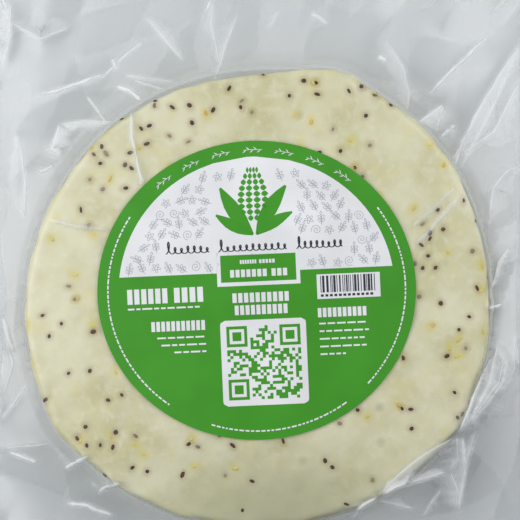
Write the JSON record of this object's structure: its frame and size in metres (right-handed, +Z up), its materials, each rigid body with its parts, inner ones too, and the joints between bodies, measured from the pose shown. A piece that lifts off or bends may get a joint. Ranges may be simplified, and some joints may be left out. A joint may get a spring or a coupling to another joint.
{
  "type": "vacuum-packed arepa corn cakes",
  "caption": "Clear vacuum pouch sealed tight round a flat stack of round pale corn cakes with chia seeds, with a round printed label on the top face.",
  "frame": {"origin": "centre of the pouch's rectangular outline, on the surface it rests on", "axes": "+Z up out of the labelled face, +Y along the pouch's longer side towards the label's top, +X to the label's right"},
  "size_m": [0.206, 0.256, 0.0265],
  "materials": {
    "clear_film": "clear glossy film tight over pale corn dough",
    "label_print": "satin printed label paper",
    "corn_dough": "moist pale corn dough with dark seeds"
  },
  "bodies": {
    "root": {"sealed_pouch": "clear_film", "round_label": "label_print"}
  },
  "joints": []
}
